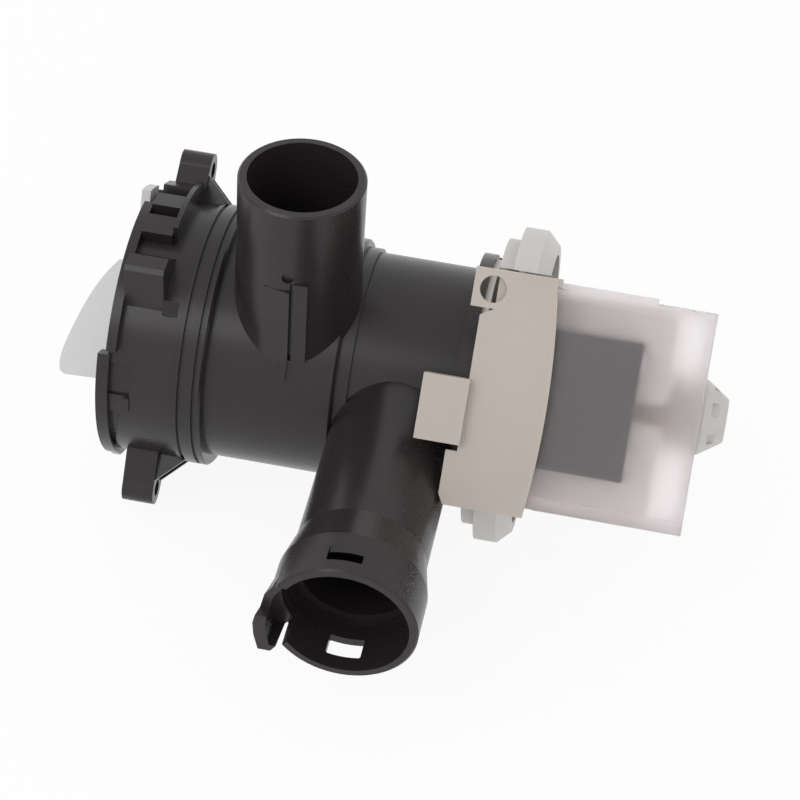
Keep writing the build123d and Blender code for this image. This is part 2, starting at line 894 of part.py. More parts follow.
# Filter cap: disc, skirt, ears and grip
with BuildPart() as cap:
    with BuildSketch(Plane.XZ):
        with BuildLine():
            Polyline(
                (cap_disc_x, 0),
                (cap_disc_x, cap_disc_radius),
                (cap_back_x, cap_disc_radius),
                (cap_back_x, cap_skirt_radius),
                (cap_skirt_end, cap_skirt_radius),
                (cap_skirt_end, cap_skirt_radius - cap_skirt_wall * 2),
                (cap_back_x, cap_skirt_radius - cap_skirt_wall * 2),
                (cap_back_x, cap_hub_radius),
                (cap_skirt_end, cap_hub_radius),
                (cap_skirt_end, cap_socket_radius),
                (cap_skirt_end - cap_socket_depth, cap_socket_radius),
                (cap_skirt_end - cap_socket_depth, 0),
                close=True,
            )
        make_face()
    revolve(axis=Axis.X)
    with BuildSketch(cross_plane(cap_seal_x)):
        Circle(cap_skirt_radius + overrun)
        Circle(cap_seal_floor_radius, mode=Mode.SUBTRACT)
    extrude(amount=cap_seal_width, mode=Mode.SUBTRACT)
    for half_turn in (0, 180):
        start = ear_turn - ear_half_angle + half_turn
        end = ear_turn + ear_half_angle + half_turn
        ear_web = ring_sector(
            ear_front_x / 2, cap_disc_radius - ear_web_depth, cap_disc_radius - small_round, start, end
        )
        extrude(ear_web, amount=cap_disc_x + cap_disc_thickness / 2 - ear_front_x / 2)
        ear = ring_sector(
            ear_front_x,
            cap_disc_radius - ear_depth,
            ear_radius,
            ear_turn - ear_tip_half_angle + half_turn,
            ear_turn + ear_tip_half_angle + half_turn,
        )
        extrude(ear, amount=-ear_front_x - free_gap)
        key = ring_sector(cap_key_x, cap_disc_radius - small_round, cap_key_radius, start, end)
        extrude(key, amount=cap_key_length)
    with BuildSketch(axial_plane(grip_turn)):
        with BuildLine():
            grip_start = (grip_start_share[0] * grip_reach, grip_start_share[1] * grip_half_width)
            edge = [(x * grip_reach, y * grip_half_width) for x, y in grip_edge_shares]
            shoulder = [(x * grip_reach, y * grip_half_width) for x, y in grip_end_shares]
            Polyline((cap_back_x, -grip_half_width), (cap_disc_x, -grip_half_width), grip_start)
            Spline(grip_start, *edge)
            Polyline(edge[-1], *shoulder, (cap_disc_x, grip_half_width), (cap_back_x, grip_half_width))
            Line((cap_back_x, grip_half_width), (cap_back_x, -grip_half_width))
        make_face()
    extrude(amount=grip_thickness / 2, both=True)
cap.part.label = "filter_cap"
export_step(cap.part, "parts/filter_cap.step")

# Ring seal on the cap skirt
cap_seal_outer = chamber_bore_radius - sealing_gap
with BuildPart() as cap_seal:
    with BuildSketch(Plane.XZ):
        with Locations((cap_seal_x + cap_seal_width / 2,
                        (cap_seal_floor_radius + running_gap + cap_seal_outer) / 2)):
            RectangleRounded(
                cap_seal_width - seat_gap * 2,
                cap_seal_outer - cap_seal_floor_radius - running_gap,
                soft_round,
            )
    revolve(axis=Axis.X)
cap_seal.part.label = "filter_seal"
export_step(cap_seal.part, "parts/filter_seal.step")

# Strainer: plate, plug, bars and end ring, open towards the inlet
with BuildPart() as strainer:
    with BuildSketch(cross_plane(cap_skirt_end)):
        Circle(strainer_plate_radius)
    extrude(amount=strainer_plate_thickness)
    with BuildSketch(cross_plane(cap_skirt_end)):
        Circle(cap_socket_radius - seat_gap)
    extrude(amount=-strainer_plug_length)
    for index in range(strainer_bar_count):
        turn = strainer_start_turn + strainer_sweep * index / (strainer_bar_count - 1)
        bar = box_across(
            cap_skirt_end,
            strainer_radius - strainer_bar_depth,
            strainer_radius,
            -strainer_bar_width / 2,
            strainer_bar_width / 2,
            turn,
        )
        extrude(bar, amount=strainer_end - cap_skirt_end)
    with BuildSketch(cross_plane(strainer_end - strainer_ring_length)):
        Circle(strainer_radius)
        Circle(strainer_radius - strainer_bar_depth, mode=Mode.SUBTRACT)
        Rectangle(strainer_bar_width, strainer_radius * 2 - strainer_bar_depth)
        Rectangle(strainer_radius * 2 - strainer_bar_depth, strainer_bar_width)
    extrude(amount=strainer_ring_length)
strainer.part.label = "filter_strainer"
export_step(strainer.part, "parts/filter_strainer.step")

# Motor flange with the rotor can
with BuildPart() as flange:
    with BuildSketch(Plane.XZ):
        with BuildLine():
            Polyline(
                (spigot_x, 0),
                (spigot_x, spigot_radius),
                (end_ring_end, spigot_radius),
                (end_ring_end, flange_face_radius),
                (flange_step_x, flange_face_radius),
                (flange_step_x, flange_step_radius),
                (flange_rim_x, flange_step_radius),
                (flange_rim_x, flange_rim_radius),
                (flange_rim_end, flange_rim_radius),
                (flange_edge_x, flange_edge_radius),
                (flange_edge_x, flange_cup_radius),
                (flange_cup_x, flange_cup_radius),
                (flange_cup_x, can_radius),
                (stub_shoulder_x, can_radius),
                (stub_end_x, stub_end_radius),
                (stub_end_x, 0),
                close=True,
            )
        make_face()
    revolve(axis=Axis.X)

    # Hooks behind the ears of the housing
    hook_inner = clip_ear_radius + free_gap
    hook_outer = hook_inner + hook_thickness
    arm_start = end_ring_x - free_gap - hook_lip_length
    for ear_middle in clip_ear_turns:
        start = ear_middle + hook_shift_turn - hook_half_angle
        end = ear_middle + hook_shift_turn + hook_half_angle
        arm = ring_sector(arm_start, hook_inner, hook_outer, start, end)
        extrude(arm, amount=flange_rim_x + small_round - arm_start)
        arm_root = ring_sector(flange_step_x, flange_face_radius - small_round, hook_outer, start, end)
        extrude(arm_root, amount=flange_rim_x - flange_step_x)
        hook = ring_sector(arm_start, hook_inner - hook_lip_reach, hook_outer, start, end)
        extrude(hook, amount=hook_lip_length)

    # Hollow of the spigot, the plate seat, the can bore and the seal groove
    with BuildSketch(Plane.XZ):
        with BuildLine():
            Polyline(
                (spigot_x - overrun, 0),
                (spigot_x - overrun, plate_seat_radius),
                (spigot_x + plate_seat_depth, plate_seat_radius),
                (spigot_x + plate_seat_depth, can_bore_radius),
                (can_neck_x, can_bore_radius),
                (can_neck_x, can_neck_radius),
                (can_floor_x, can_neck_radius),
                (can_floor_x, 0),
                close=True,
            )
        make_face()
    revolve(axis=Axis.X, mode=Mode.SUBTRACT)
    with BuildSketch(cross_plane(seal_groove_x)):
        Circle(spigot_radius + overrun)
        Circle(spigot_radius - seal_groove_depth, mode=Mode.SUBTRACT)
    extrude(amount=seal_groove_width, mode=Mode.SUBTRACT)

    # Recesses round the stub, which leave its ribs
    for index in range(stub_rib_count):
        turn = 360 * (index + 1 / 2) / stub_rib_count
        pocket = box_across(
            stub_end_x - stub_recess_length,
            can_radius - stub_recess_depth * 2,
            can_radius + overrun,
            -stub_rib_width,
            stub_rib_width,
            turn,
        )
        extrude(pocket, amount=stub_recess_length + overrun, mode=Mode.SUBTRACT)

    # Gap in the cup for the stator frame
    gap = box_across(
        flange_step_x - overrun,
        -ring_cut_half_width,
        ring_cut_half_width,
        ring_cut_out,
        flange_rim_radius + overrun,
        -motor_roll,
    )
    extrude(gap, amount=flange_edge_x - flange_step_x + overrun * 2, mode=Mode.SUBTRACT)
flange.part.label = "motor_flange"
export_step(flange.part, "parts/motor_flange.step")

# Ring seal between the motor flange and the housing
with BuildPart() as housing_seal:
    with BuildSketch(Plane.XZ):
        with Locations((seal_groove_x + seal_groove_width / 2,
                        (spigot_radius - seal_groove_depth + volute_bore_radius) / 2)):
            RectangleRounded(
                seal_groove_width - seat_gap * 2,
                seal_groove_depth + seat_gap * 2 - running_gap * 2,
                small_round,
            )
    revolve(axis=Axis.X)
housing_seal.part.label = "housing_seal"
export_step(housing_seal.part, "parts/housing_seal.step")

# Bearing plate, which closes the can at the water side
plate_start = spigot_x + plate_seat_depth - plate_thickness
boss_floor = plate_start + boss_wall
with BuildPart() as bearing_plate:
    with BuildSketch(Plane.XZ):
        with BuildLine():
            Polyline(
                (plate_start, shaft_radius + free_gap),
                (plate_start, plate_radius),
                (plate_start + plate_thickness, plate_radius),
                (plate_start + plate_thickness, boss_radius),
                (can_seal_x, boss_radius),
                (can_seal_x, can_seal_floor_radius),
                (can_seal_x + can_seal_width, can_seal_floor_radius),
                (can_seal_x + can_seal_width, boss_radius),
                (boss_end, boss_radius),
                (boss_end, boss_bore_radius),
                (boss_floor, boss_bore_radius),
                (boss_floor, shaft_radius + free_gap),
                close=True,
            )
        make_face()
    revolve(axis=Axis.X)
bearing_plate.part.label = "bearing_plate"
export_step(bearing_plate.part, "parts/bearing_plate.step")

# Ring seal round the boss of the bearing plate
can_seal = plain_ring(
    can_seal_x + seat_gap,
    can_seal_width - seat_gap * 2,
    can_bore_radius - press_gap,
    can_seal_floor_radius + press_gap,
)
can_seal.part.label = "can_seal"
export_step(can_seal.part, "parts/can_seal.step")

# Bearings in their rubber mounts
front_mount_end = boss_end - small_round
with BuildPart() as front_mount:
    with BuildSketch(Plane.XZ):
        with BuildLine():
            Polyline(
                (boss_floor, shaft_radius + free_gap),
                (boss_floor, boss_bore_radius - press_gap),
                (front_mount_end, boss_bore_radius - press_gap),
                (front_mount_end, bearing_radius + press_gap),
                (boss_floor + mount_end_wall, bearing_radius + press_gap),
                (boss_floor + mount_end_wall, shaft_radius + free_gap),
                close=True,
            )
        make_face()
    revolve(axis=Axis.X)
front_mount.part.label = "front_bearing_mount"
export_step(front_mount.part, "parts/front_bearing_mount.step")

front_bearing_x = boss_floor + mount_end_wall
front_bearing = plain_ring(
    front_bearing_x, front_bearing_length, bearing_radius, shaft_radius + running_gap
)
front_bearing.part.label = "front_bearing"
export_step(front_bearing.part, "parts/front_bearing.step")

rear_mount_x = can_floor_x - rear_mount_length
with BuildPart() as rear_mount:
    with BuildSketch(Plane.XZ):
        with BuildLine():
            Polyline(
                (rear_mount_x, bearing_radius + press_gap),
                (rear_mount_x, can_neck_radius - press_gap),
                (can_floor_x, can_neck_radius - press_gap),
                (can_floor_x, shaft_radius + free_gap),
                (can_floor_x - mount_end_wall, shaft_radius + free_gap),
                (can_floor_x - mount_end_wall, bearing_radius + press_gap),
                close=True,
            )
        make_face()
    revolve(axis=Axis.X)
rear_mount.part.label = "rear_bearing_mount"
export_step(rear_mount.part, "parts/rear_bearing_mount.step")

rear_bearing_x = can_floor_x - mount_end_wall - rear_bearing_length
rear_bearing = plain_ring(rear_bearing_x, rear_bearing_length, bearing_radius, shaft_radius + running_gap)
rear_bearing.part.label = "rear_bearing"
export_step(rear_bearing.part, "parts/rear_bearing.step")

# Rotor: shaft, carrier, magnet and washers
with BuildPart() as shaft:
    with BuildSketch(cross_plane(shaft_start)):
        Circle(shaft_radius)
    extrude(amount=shaft_end - shaft_start)
    chamfer(shaft.edges().filter_by(GeomType.CIRCLE), length=shaft_radius / 5)
shaft.part.label = "rotor_shaft"
export_step(shaft.part, "parts/rotor_shaft.step")

with BuildPart() as carrier:
    with BuildSketch(Plane.XZ):
        with BuildLine():
            Polyline(
                (carrier_start, shaft_radius + press_gap),
                (carrier_start, carrier_radius),
                (magnet_start - carrier_end_length, carrier_radius),
                (magnet_start - carrier_end_length, carrier_end_radius),
                (magnet_start, carrier_end_radius),
                (magnet_start, carrier_radius),
                (carrier_end, carrier_radius),
                (carrier_end, shaft_radius + press_gap),
                close=True,
            )
        make_face()
    revolve(axis=Axis.X)
carrier.part.label = "rotor_carrier"
export_step(carrier.part, "parts/rotor_carrier.step")

magnet = plain_ring(magnet_start, magnet_end - magnet_start, magnet_radius, carrier_radius + press_gap)
magnet.part.label = "rotor_magnet"
export_step(magnet.part, "parts/rotor_magnet.step")

front_washer_x = carrier_start - washer_thickness
rear_washer_x = carrier_end
with BuildPart() as washers:
    for start in (front_washer_x, rear_washer_x):
        with BuildSketch(cross_plane(start)):
            Circle(washer_radius)
            Circle(shaft_radius + press_gap, mode=Mode.SUBTRACT)
        extrude(amount=washer_thickness)
washers.part.label = "thrust_washers"
export_step(washers.part, "parts/thrust_washers.step")

# Driver on the shaft: its lug pushes the stop inside the impeller hub
with BuildPart() as driver:
    with BuildSketch(cross_plane(driver_x)):
        Circle(driver_sleeve_radius)
    extrude(amount=driver_length)
    lug = ring_sector(driver_x, shaft_radius + small_round, driver_radius, 0, driver_angle)
    extrude(lug, amount=driver_length)
    with BuildSketch(cross_plane(driver_x)):
        Circle(shaft_radius + press_gap)
    extrude(amount=driver_length, mode=Mode.SUBTRACT)
driver.part.label = "rotor_driver"
export_step(driver.part, "parts/rotor_driver.step")

# Impeller: hub, blades, back disc and the stop inside the hub
with BuildPart() as impeller:
    with BuildSketch(Plane.XZ):
        with BuildLine():
            Polyline(
                (hub_start, 0),
                (hub_start, hub_radius - hub_nose * 2),
                (hub_start + hub_nose * 2, hub_radius),
                (blade_end, hub_radius),
                (blade_end, back_disc_radius),
                (blade_end + back_disc_thickness, back_disc_radius),
                (blade_end + back_disc_thickness, hub_radius),
                (hub_end, hub_radius),
                (hub_end, 0),
                close=True,
            )
        make_face()
    revolve(axis=Axis.X)
    for index in range(blade_count):
        with BuildSketch(axial_plane(360 * index / blade_count)):
            with BuildLine():
                Polyline(
                    (blade_start + blade_slope, clutch_radius + overrun),
                    (blade_start, hub_radius + blade_slope),
                    (blade_start, blade_radius - blade_slope),
                    (blade_start + blade_slope, blade_radius),
                    (blade_end, blade_radius),
                    (blade_end + back_disc_thickness, back_disc_radius),
                    (blade_end, clutch_radius + overrun),
                    close=True,
                )
            make_face()
        extrude(amount=blade_thickness / 2, both=True)
    with BuildSketch(cross_plane(hub_start + hub_front_wall)):
        Circle(clutch_radius)
    extrude(amount=hub_end - hub_start, mode=Mode.SUBTRACT)
    stop = ring_sector(
        hub_start + hub_front_wall,
        stop_inner_radius,
        clutch_radius + small_round,
        stop_start_turn,
        stop_start_turn + stop_angle,
    )
    extrude(stop, amount=stop_length)
    with BuildSketch(cross_plane(hub_start + hub_nose)):
        Circle(shaft_radius + running_gap)
    extrude(amount=hub_front_wall, mode=Mode.SUBTRACT)
impeller.part.label = "impeller"
export_step(impeller.part, "parts/impeller.step")

hub_cap = plain_ring(
    hub_end - clutch_cap_thickness, clutch_cap_thickness, clutch_radius - press_gap, shaft_radius + seat_gap
)
hub_cap.part.label = "impeller_hub_cap"
export_step(hub_cap.part, "parts/impeller_hub_cap.step")

# Stator core: yoke, two legs and two pole pieces round the can
with BuildPart() as core:
    with BuildSketch(cross_plane(core_start, -motor_roll)):
        with BuildLine():
            Polyline(
                (-core_half_width, -core_pole_half_height),
                (-core_half_width, core_yoke_end),
                (core_half_width, core_yoke_end),
                (core_half_width, -core_pole_half_height),
                close=True,
            )
        make_face()
        window_half_width = core_half_width - core_leg_width
        with Locations((0, (core_pole_half_height + core_yoke_start) / 2)):
            Rectangle(
                window_half_width * 2, core_yoke_start - core_pole_half_height, mode=Mode.SUBTRACT
            )
        Rectangle(core_pole_gap, (core_pole_half_height + overrun) * 2, mode=Mode.SUBTRACT)
        Circle(core_bore_radius, mode=Mode.SUBTRACT)
    extrude(amount=core_length)
    with BuildSketch(cross_plane(core_start, -motor_roll)):
        with Locations(
            (-rivet_yoke_across, rivet_yoke_out),
            (rivet_yoke_across, rivet_yoke_out),
            (-rivet_pole_across, rivet_pole_out),
            (rivet_pole_across, rivet_pole_out),
        ):
            Circle(rivet_radius + press_gap)
    extrude(amount=core_length, mode=Mode.SUBTRACT)
core.part.label = "stator_core"
export_step(core.part, "parts/stator_core.step")

with BuildPart() as rivets:
    rivet_ends = (
        (core_start - rivet_head_height, rivet_head_radius, rivet_head_height),
        (core_start, rivet_radius, core_length),
        (core_start + core_length, rivet_head_radius, rivet_head_height),
    )
    for start, radius, length in rivet_ends:
        with BuildSketch(cross_plane(start, -motor_roll)):
            with Locations(
                (-rivet_yoke_across, rivet_yoke_out),
                (rivet_yoke_across, rivet_yoke_out),
                (-rivet_pole_across, rivet_pole_out),
                (rivet_pole_across, rivet_pole_out),
            ):
                Circle(radius)
        extrude(amount=length)
rivets.part.label = "core_rivets"
export_step(rivets.part, "parts/core_rivets.step")

# Coils: a bobbin with its winding on each leg, and the thermal fuse between them
leg_centre = core_half_width - core_leg_width / 2
leg_middle_x = core_start + core_length / 2
bobbin_bore_width = core_leg_width + seat_gap * 2
bobbin_bore_length = core_length + seat_gap * 2
sleeve_width = bobbin_bore_width + bobbin_wall * 2
sleeve_length = bobbin_bore_length + bobbin_wall * 2
winding_width = sleeve_width + winding_depth * 2
winding_length = sleeve_length + winding_depth * 2
for side, place in ((1, "upper"), (-1, "lower")):
    with BuildPart() as bobbin:
        with BuildSketch(motor_plane(bobbin_start)):
            with Locations((leg_middle_x, side * leg_centre)):
                Rectangle(sleeve_length, sleeve_width)
        extrude(amount=bobbin_end - bobbin_start)
        for start in (bobbin_start, bobbin_end - bobbin_wall):
            with BuildSketch(motor_plane(start)):
                with Locations((leg_middle_x, side * leg_centre)):
                    RectangleRounded(
                        winding_length + flange_overhang * 2,
                        winding_width + flange_overhang * 2,
                        winding_round,
                    )
            extrude(amount=bobbin_wall)
        with BuildSketch(motor_plane(bobbin_start)):
            with Locations((leg_middle_x, side * leg_centre)):
                Rectangle(bobbin_bore_length, bobbin_bore_width)
        extrude(amount=bobbin_end - bobbin_start, mode=Mode.SUBTRACT)
    bobbin.part.label = f"coil_bobbin_{place}"
    export_step(bobbin.part, f"parts/coil_bobbin_{place}.step")

    with BuildPart() as winding:
        with BuildSketch(motor_plane(bobbin_start + bobbin_wall)):
            with Locations((leg_middle_x, side * leg_centre)):
                RectangleRounded(winding_length, winding_width, winding_round)
                Rectangle(sleeve_length, sleeve_width, mode=Mode.SUBTRACT)
        extrude(amount=bobbin_end - bobbin_start - bobbin_wall * 2)
    winding.part.label = f"coil_winding_{place}"
    export_step(winding.part, f"parts/coil_winding_{place}.step")

with BuildPart() as fuse:
    with BuildSketch(cross_plane(leg_middle_x - fuse_length / 2, -motor_roll)):
        with Locations((0, fuse_out)):
            Circle(fuse_radius)
    extrude(amount=fuse_length)
    fillet(fuse.edges().filter_by(GeomType.CIRCLE), radius=small_round)
fuse.part.label = "thermal_fuse"
export_step(fuse.part, "parts/thermal_fuse.step")

# Cover over the coils
with BuildPart() as cover:
    with BuildSketch(motor_plane(cover_inner_out)):
        with Locations(((cover_start + cover_end) / 2, 0)):
            Rectangle(cover_end - cover_start, cover_half_width * 2)
    extrude(amount=cover_face_out - cover_inner_out)
    fillet(cover.faces().sort_by(Axis((0, 0, 0), motor_plane(0).z_dir))[-1].edges(), radius=small_round)
    with BuildSketch(motor_plane(cover_inner_out)):
        with Locations(((cover_start + cover_end) / 2, 0)):
            Rectangle(cover_end - cover_start - cover_wall * 2, (cover_half_width - cover_wall) * 2)
    extrude(amount=cover_face_out - cover_inner_out - cover_wall, mode=Mode.SUBTRACT)
    for side in (-1, 1):
        with BuildSketch(motor_plane(cover_face_out - small_round)):
            with Locations(
                ((cover_strip_x + cover_end) / 2, side * (cover_half_width - cover_strip_width / 2))
            ):
                Rectangle(cover_end - cover_strip_x, cover_strip_width)
        extrude(amount=cover_strip_height + small_round)
    rail = box_across(
        cover_rail_x,
        cover_half_width - cover_wall / 2,
        cover_half_width + cover_rail_height,
        cover_face_out - cover_rail_depth,
        cover_face_out - small_round,
        -motor_roll,
    )
    extrude(rail, amount=cover_rail_length)
cover.part.label = "motor_cover"
export_step(cover.part, "parts/motor_cover.step")

# Stator frame
foot_start = flange_cup_x
foot_end = flange_cup_x + frame_foot_thickness
with BuildPart() as frame:
    # Label plate, with its tab and its curved right edge
    with BuildSketch(motor_plane(frame_plate_out)):
        with BuildLine():
            Polyline(
                (frame_right_low_x, -frame_side_outer),
                (frame_corner_x, -frame_side_outer),
                (frame_low_left_x, frame_corner_across),
                (frame_low_left_x, frame_low_left_top),
                (frame_left_x, frame_low_left_top),
                (frame_left_x, frame_left_top),
                (frame_notch_x, frame_notch_top),
                (frame_tab_x, frame_notch_top),
                (frame_tab_x, frame_top),
                (frame_right_top_x, frame_top),
            )
            ThreePointArc(
                (frame_right_top_x, frame_top),
                (frame_right_mid_x, 0),
                (frame_right_low_x, -frame_side_outer),
            )
        make_face()
        with Locations((tab_hole_x, tab_hole_across)):
            Circle(tab_hole_radius, mode=Mode.SUBTRACT)
    extrude(amount=frame_plate_thickness)

    # Side walls, end wall and foot
    for low, high in ((-frame_side_outer, -frame_side_inner), (frame_side_inner, frame_top)):
        wall = box_across(
            frame_end_wall_x, low, high, ring_cut_out + seat_gap, frame_plate_out, -motor_roll
        )
        extrude(wall, amount=frame_side_end - frame_end_wall_x)
    end_wall = box_across(
        frame_end_wall_x,
        -frame_side_outer,
        frame_top,
        ring_cut_out + seat_gap,
        frame_plate_out,
        -motor_roll,
    )
    extrude(end_wall, amount=foot_end - frame_end_wall_x)
    foot = box_across(
        foot_start, -frame_side_inner, frame_side_inner, frame_foot_out, ring_cut_out + overrun, -motor_roll
    )
    extrude(foot, amount=frame_foot_thickness)
    with BuildSketch(cross_plane(foot_start)):
        Circle(can_radius + seat_gap)
    extrude(amount=frame_foot_thickness, mode=Mode.SUBTRACT)

    # Terminal shroud, open to -X
    shroud = box_across(shroud_start, shroud_low, shroud_high, shroud_in, shroud_out, -motor_roll)
    extrude(shroud, amount=shroud_end - shroud_start)
    cavity = box_across(
        shroud_start - overrun,
        shroud_low + shroud_wall,
        shroud_high - shroud_wall,
        shroud_in + shroud_wall,
        shroud_out - shroud_wall,
        -motor_roll,
    )
    extrude(cavity, amount=shroud_depth + overrun, mode=Mode.SUBTRACT)

    # Slots for the terminal blades, in the floor of the shroud
    terminal_out = (shroud_in + shroud_out) / 2
    terminal_across = (shroud_low + shroud_high) / 2
    terminal_half = blade_terminal_thickness / 2
    for side in (-1, 1):
        middle = terminal_across + side * blade_terminal_spacing / 2
        slot = box_across(
            shroud_start + shroud_depth,
            middle - blade_terminal_width / 2 - press_gap,
            middle + blade_terminal_width / 2 + press_gap,
            terminal_out - terminal_half - press_gap,
            terminal_out + terminal_half + press_gap,
            -motor_roll,
        )
        extrude(slot, amount=blade_terminal_root, mode=Mode.SUBTRACT)
frame.part.label = "stator_frame"
export_step(frame.part, "parts/stator_frame.step")

with BuildPart() as blades:
    for side in (-1, 1):
        middle = terminal_across + side * blade_terminal_spacing / 2
        blade = box_across(
            shroud_start + blade_terminal_setback,
            middle - blade_terminal_width / 2,
            middle + blade_terminal_width / 2,
            terminal_out - terminal_half,
            terminal_out + terminal_half,
            -motor_roll,
        )
        extrude(blade, amount=shroud_depth - blade_terminal_setback + blade_terminal_root)
blades.part.label = "terminal_blades"
export_step(blades.part, "parts/terminal_blades.step")
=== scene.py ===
import json
from math import cos, pi, radians, sin, sqrt

import bpy
from mathutils import Matrix, Vector


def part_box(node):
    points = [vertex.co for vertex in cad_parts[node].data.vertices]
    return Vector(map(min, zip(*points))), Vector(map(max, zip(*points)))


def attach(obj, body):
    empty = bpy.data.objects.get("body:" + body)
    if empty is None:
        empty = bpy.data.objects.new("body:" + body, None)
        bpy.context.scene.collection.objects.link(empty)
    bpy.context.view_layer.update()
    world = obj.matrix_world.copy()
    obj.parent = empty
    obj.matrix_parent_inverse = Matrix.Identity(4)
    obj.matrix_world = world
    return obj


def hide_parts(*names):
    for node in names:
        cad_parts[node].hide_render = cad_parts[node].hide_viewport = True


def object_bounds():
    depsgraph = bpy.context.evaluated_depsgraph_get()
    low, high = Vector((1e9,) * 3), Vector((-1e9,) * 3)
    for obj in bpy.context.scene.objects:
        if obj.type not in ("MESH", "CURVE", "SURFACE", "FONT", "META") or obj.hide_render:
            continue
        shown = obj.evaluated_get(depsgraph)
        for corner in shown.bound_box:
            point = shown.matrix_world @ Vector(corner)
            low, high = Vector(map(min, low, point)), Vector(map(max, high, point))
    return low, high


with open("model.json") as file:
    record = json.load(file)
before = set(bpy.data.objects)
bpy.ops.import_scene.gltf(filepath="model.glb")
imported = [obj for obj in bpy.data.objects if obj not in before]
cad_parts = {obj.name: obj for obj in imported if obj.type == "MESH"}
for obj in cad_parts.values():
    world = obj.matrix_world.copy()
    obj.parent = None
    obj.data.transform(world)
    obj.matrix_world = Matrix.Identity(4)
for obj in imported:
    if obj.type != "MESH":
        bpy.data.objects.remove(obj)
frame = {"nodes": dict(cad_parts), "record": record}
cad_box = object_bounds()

# Lengths are in metres, written as millimetres times MM. The pump axis is X, the inlet points
# up and the outlet to -Y, as in the frame.
MM = 0.001
nodes = frame["nodes"]

# Viewing direction and framing of the picture, which is 800 pixels square. The view axis passes
# through the pixel at CENTRE_X and CENTRE_Y.
VIEW_AZIMUTH = radians(6.87)
VIEW_ELEVATION = radians(42.73)
VIEW_ROLL = radians(5.04)
VIEW_TARGET = Vector((95.0, 0.0, 0.0)) * MM
VIEW_DISTANCE = 769.0 * MM
PICTURE_SIDE = 800.0
FOCAL_PIXELS = 2445.2
SENSOR_WIDTH = 36.0
CENTRE_X = 434.1
CENTRE_Y = 371.4
CLIP_START = 0.01
CLIP_END = 20.0

# Motor: turned about the pump axis. Across runs along the coils' long side, out faces them.
MOTOR_ROLL = radians(40.0)
ACROSS = Vector((0.0, sin(MOTOR_ROLL), cos(MOTOR_ROLL)))
OUT = Vector((0.0, -cos(MOTOR_ROLL), sin(MOTOR_ROLL)))
ALONG = Vector((1.0, 0.0, 0.0))

# Stator sheets
CORE_HALF_WIDTH = 20.75 * MM
CORE_LEG_WIDTH = 8.25 * MM
CORE_YOKE_START = 36.0 * MM
CORE_YOKE_END = 47.0 * MM
CORE_POLE_HALF_HEIGHT = 16.6 * MM
CORE_POLE_HALF_GAP = 2.0 * MM
CORE_BORE_RADIUS = 12.2 * MM
SHEET_PITCH = 0.5 * MM
SHEET_THICKNESS = 0.41 * MM
BORE_STEPS = 20
MERGE_DISTANCE = 0.001 * MM

# Rivets through the sheets, their places across and out in millimetres
RIVET_HEAD_RADIUS = 2.8 * MM
RIVET_HEAD_HEIGHT = 0.9 * MM
RIVET_PLACES = ((-14.5, 42.0), (14.5, 42.0), (-17.0, -11.5), (17.0, -11.5))
DOME_SEGMENTS = 24
DOME_RINGS = 12

# Turns of enamelled wire on the coils
WINDING_CORNER = 3.0 * MM
WIRE_RADIUS = 0.3 * MM
WIRE_SUNK = 0.05 * MM
WIRE_TURNS = 26
WIRE_SIDES = 6
CORNER_STEPS = 4

# Noise and bump shared by the finishes
MOTTLE_DETAIL = 3.0
GRAIN_DETAIL = 4.0
MARKS_DETAIL = 2.0
NOISE_MIDDLE = 0.5
BUMP_STRENGTH = 0.5

# Values that single plastics have. A reach is how far red, green and blue light travel inside.
HOUSING_SPECULAR = 0.34
FLANGE_WAX = 0.25
FLANGE_REACH = (2.4 * MM, 1.9 * MM, 1.5 * MM)
PLATE_WAX = 0.2
PLATE_REACH = (2.2 * MM, 1.7 * MM, 1.4 * MM)
COVER_TRANSMISSION = 0.94
COVER_IOR = 1.25

# Studio levels: the world lights the object a little more from the front than from behind
FRONT_LEVEL = 1.0
BACK_LEVEL = 0.75
SEEN_LEVEL = 1.0
KEY_SIZE = 0.7
KEY_WATTS = 3.0
KEY_PLACE = Vector((-0.45, -0.75, 0.95))
FLOOR_HALF_SIDE = 3.0
FLOOR_WHITE = 0.92
FLOOR_GLOW = 0.91


def add_camera():
    """Camera at the picture's viewing angle, with its small roll and off-centre framing."""
    back = Vector((
        sin(VIEW_AZIMUTH) * cos(VIEW_ELEVATION),
        -cos(VIEW_AZIMUTH) * cos(VIEW_ELEVATION),
        sin(VIEW_ELEVATION),
    ))
    level = Vector((cos(VIEW_AZIMUTH), sin(VIEW_AZIMUTH), 0.0))
    upright = back.cross(level)
    right = level * cos(VIEW_ROLL) + upright * sin(VIEW_ROLL)
    up = upright * cos(VIEW_ROLL) - level * sin(VIEW_ROLL)
    data = bpy.data.cameras.new("studio_camera")
    data.sensor_width = SENSOR_WIDTH
    data.lens = FOCAL_PIXELS * SENSOR_WIDTH / PICTURE_SIDE
    data.shift_x = (PICTURE_SIDE / 2 - CENTRE_X) / PICTURE_SIDE
    data.shift_y = (CENTRE_Y - PICTURE_SIDE / 2) / PICTURE_SIDE
    data.clip_start = CLIP_START
    data.clip_end = CLIP_END
    camera = bpy.data.objects.new("studio_camera", data)
    camera.matrix_world = Matrix.Translation(VIEW_TARGET + back * VIEW_DISTANCE) @ Matrix(
        (right, up, back)
    ).transposed().to_4x4()
    bpy.context.scene.collection.objects.link(camera)
    bpy.context.scene.camera = camera


